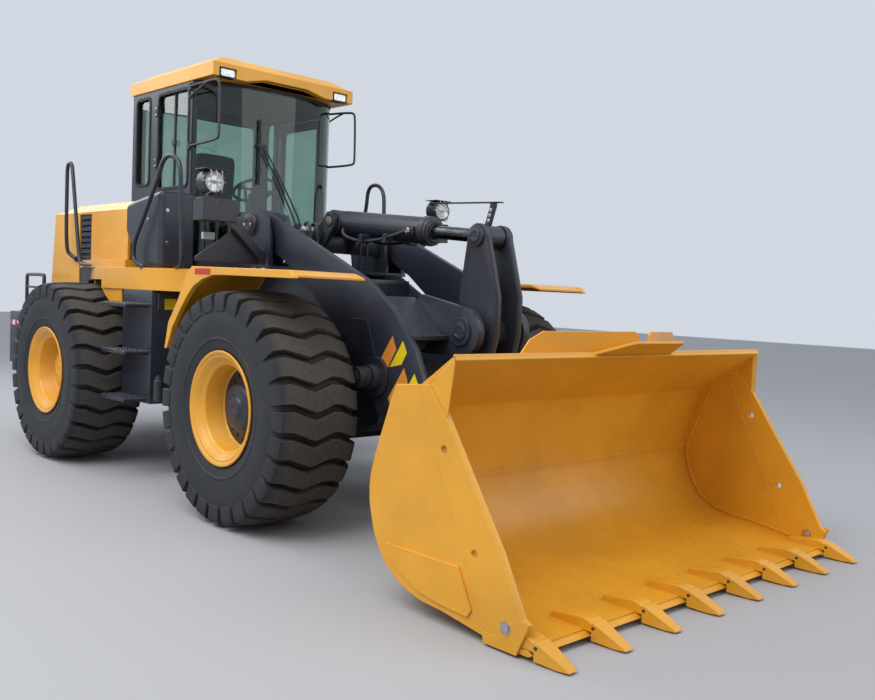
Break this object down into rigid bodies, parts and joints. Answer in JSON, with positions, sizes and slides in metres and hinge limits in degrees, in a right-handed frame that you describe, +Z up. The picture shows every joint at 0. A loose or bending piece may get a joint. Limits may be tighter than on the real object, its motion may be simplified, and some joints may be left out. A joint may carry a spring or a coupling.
{
  "type": "wheel loader",
  "caption": "Articulated wheel loader with enclosed cab, single-rocker lifting arms and a toothed bucket for digging and loading loose material.",
  "frame": {"origin": "on the ground plane under the middle of the overall box", "axes": "+X forward towards the bucket, +Y to the machine's left, +Z up"},
  "size_m": [7.96, 3.016, 3.48],
  "materials": {
    "yellow_paint": "satin machine yellow",
    "dark_paint": "satin dark blue-grey",
    "tyre_rubber": "dusty black rubber",
    "cab_glass": "green tinted glass",
    "steel": "worn steel",
    "rod_chrome": "polished hard chrome",
    "cast_metal": "dull dark casting",
    "cab_plastic": "matt black"
  },
  "bodies": {
    "rear_body": {"rear_frame": "dark_paint", "rear_axle": "cast_metal", "counterweight": "dark_paint", "engine_block": "cast_metal", "hood": "yellow_paint", "rear_grille": "dark_paint", "vent_column": "dark_paint", "platform_left": "yellow_paint", "platform_right": "yellow_paint", "ladder_left": "dark_paint", "ladder_right": "dark_paint", "cab_floor": "dark_paint", "cab_frame": "dark_paint", "cab_roof": "yellow_paint", "windshield": "cab_glass", "cab_glass_right_front": "cab_glass", "cab_glass_right_rear": "cab_glass", "cab_glass_left_rear": "cab_glass", "cab_glass_back": "cab_glass", "seat": "cab_plastic", "steering_column": "cab_plastic", "tank_cover": "dark_paint", "exhaust": "cast_metal", "hand_rails_left": "dark_paint", "hand_rails_right": "dark_paint", "guard_rails": "dark_paint"},
    "cab_door": {"door_frame": "dark_paint", "door_glass": "cab_glass"},
    "front_body": {"front_frame": "dark_paint", "front_axle": "cast_metal", "fender_left": "yellow_paint", "fender_right": "yellow_paint", "headlamp_left": "dark_paint", "headlamp_right": "dark_paint"},
    "boom_arms": {"boom": "dark_paint"},
    "rocker_arm": {"rocker": "dark_paint"},
    "link_arm": {"push_link": "dark_paint"},
    "tilt_base_pin": {"tilt_pin": "steel"},
    "tilt_cylinder": {"tilt_barrel": "dark_paint"},
    "tilt_piston": {"tilt_rod": "rod_chrome"},
    "lift_cylinders": {"lift_barrels": "dark_paint"},
    "lift_pistons": {"lift_rods": "rod_chrome"},
    "steer_cylinder_left": {"steer_barrel_left": "dark_paint"},
    "steer_piston_left": {"steer_rod_left": "rod_chrome"},
    "steer_cylinder_right": {"steer_barrel_right": "dark_paint"},
    "steer_piston_right": {"steer_rod_right": "rod_chrome"},
    "bucket_body": {"bucket": "yellow_paint", "bucket_teeth": "steel", "spill_guard": "yellow_paint"},
    "wheel_front_left": {"tyre_front_left": "tyre_rubber", "rim_front_left": "yellow_paint"},
    "wheel_front_right": {"tyre_front_right": "tyre_rubber", "rim_front_right": "yellow_paint"},
    "wheel_rear_left": {"tyre_rear_left": "tyre_rubber", "rim_rear_left": "yellow_paint"},
    "wheel_rear_right": {"tyre_rear_right": "tyre_rubber", "rim_rear_right": "yellow_paint"}
  },
  "joints": [
    {"name": "steering", "type": "hinge", "parent": "rear_body", "child": "front_body", "pos_m": [-0.55, 0, 0.8], "axis": [0, 0, 1], "range_deg": [-35, 35]},
    {"name": "cab_door_hinge", "type": "hinge", "parent": "rear_body", "child": "cab_door", "pos_m": [-1.56, 0.722, 2.5], "axis": [0, 0, 1], "range_deg": [0, 80]},
    {"name": "boom_lift", "type": "hinge", "parent": "front_body", "child": "boom_arms", "pos_m": [0.12, 0, 2.076], "axis": [0, -1, 0], "range_deg": [0, 79.5]},
    {"name": "bucket_tilt", "type": "hinge", "parent": "boom_arms", "child": "bucket_body", "pos_m": [2.45, 0, 0.33], "axis": [0, 1, 0], "range_deg": [-43, 124.5]},
    {"name": "rocker_hinge", "type": "hinge", "parent": "boom_arms", "child": "rocker_arm", "pos_m": [2.02, 0, 1.363], "axis": [0, 1, 0], "range_deg": [-30.1, 10.6]},
    {"name": "link_hinge", "type": "hinge", "parent": "bucket_body", "child": "link_arm", "pos_m": [2.54, 0, 0.64], "axis": [0, 1, 0], "range_deg": [-79.9, 27.8]},
    {"name": "tilt_pin_hinge", "type": "hinge", "parent": "front_body", "child": "tilt_base_pin", "pos_m": [0.397, 0, 2.139], "axis": [0, -1, 0], "range_deg": [0, 90.6]},
    {"name": "tilt_barrel_hinge", "type": "hinge", "parent": "tilt_base_pin", "child": "tilt_cylinder", "pos_m": [0.397, 0, 2.139], "axis": [0, 1, 0], "range_deg": [-1.5, 3.9]},
    {"name": "tilt_rod_slide", "type": "slide", "parent": "tilt_cylinder", "child": "tilt_piston", "axis": [0.9963, 0, -0.0859], "range_m": [-0.231, 0.081]},
    {"name": "lift_barrel_hinge", "type": "hinge", "parent": "front_body", "child": "lift_cylinders", "pos_m": [0.25, 0, 1.25], "axis": [0, -1, 0], "range_deg": [0, 70.1]},
    {"name": "lift_rod_slide", "type": "slide", "parent": "lift_cylinders", "child": "lift_pistons", "axis": [0.9879, 0, -0.1548], "range_m": [0, 1.028]},
    {"name": "steer_barrel_hinge_left", "type": "hinge", "parent": "rear_body", "child": "steer_cylinder_left", "pos_m": [-1.19, 0.33, 0.82], "axis": [0, 0, 1], "range_deg": [-10.9, 10.9]},
    {"name": "steer_rod_slide_left", "type": "slide", "parent": "steer_cylinder_left", "child": "steer_piston_left", "axis": [0.9981, -0.0623, 0], "range_m": [-0.175, 0.175]},
    {"name": "steer_barrel_hinge_right", "type": "hinge", "parent": "rear_body", "child": "steer_cylinder_right", "pos_m": [-1.19, -0.33, 0.82], "axis": [0, 0, 1], "range_deg": [-10.9, 10.9]},
    {"name": "steer_rod_slide_right", "type": "slide", "parent": "steer_cylinder_right", "child": "steer_piston_right", "axis": [0.9981, 0.0623, 0], "range_m": [-0.175, 0.175]},
    {"name": "wheel_spin_front_left", "type": "hinge", "parent": "front_body", "child": "wheel_front_left", "pos_m": [0.95, 1.2, 0.79], "axis": [0, 1, 0], "continuous": true},
    {"name": "wheel_spin_front_right", "type": "hinge", "parent": "front_body", "child": "wheel_front_right", "pos_m": [0.95, -1.2, 0.79], "axis": [0, 1, 0], "continuous": true},
    {"name": "wheel_spin_rear_left", "type": "hinge", "parent": "rear_body", "child": "wheel_rear_left", "pos_m": [-2.05, 1.2, 0.79], "axis": [0, 1, 0], "continuous": true},
    {"name": "wheel_spin_rear_right", "type": "hinge", "parent": "rear_body", "child": "wheel_rear_right", "pos_m": [-2.05, -1.2, 0.79], "axis": [0, 1, 0], "continuous": true}
  ],
  "couplings": [
    {"joint": "rocker_hinge", "follows": "bucket_tilt", "ratio": -0.24},
    {"joint": "link_hinge", "follows": "bucket_tilt", "ratio": -0.64},
    {"joint": "tilt_pin_hinge", "follows": "boom_lift", "ratio": 1.1366},
    {"joint": "tilt_barrel_hinge", "follows": "bucket_tilt", "ratio": 0.0293},
    {"joint": "tilt_rod_slide", "follows": "bucket_tilt", "m_per_rad": -0.105},
    {"joint": "lift_barrel_hinge", "follows": "boom_lift", "ratio": 0.8788},
    {"joint": "lift_rod_slide", "follows": "boom_lift", "m_per_rad": 0.7393},
    {"joint": "steer_barrel_hinge_left", "follows": "steering", "ratio": 0.304},
    {"joint": "steer_rod_slide_left", "follows": "steering", "m_per_rad": -0.2831},
    {"joint": "steer_barrel_hinge_right", "follows": "steering", "ratio": 0.304},
    {"joint": "steer_rod_slide_right", "follows": "steering", "m_per_rad": 0.2831}
  ]
}
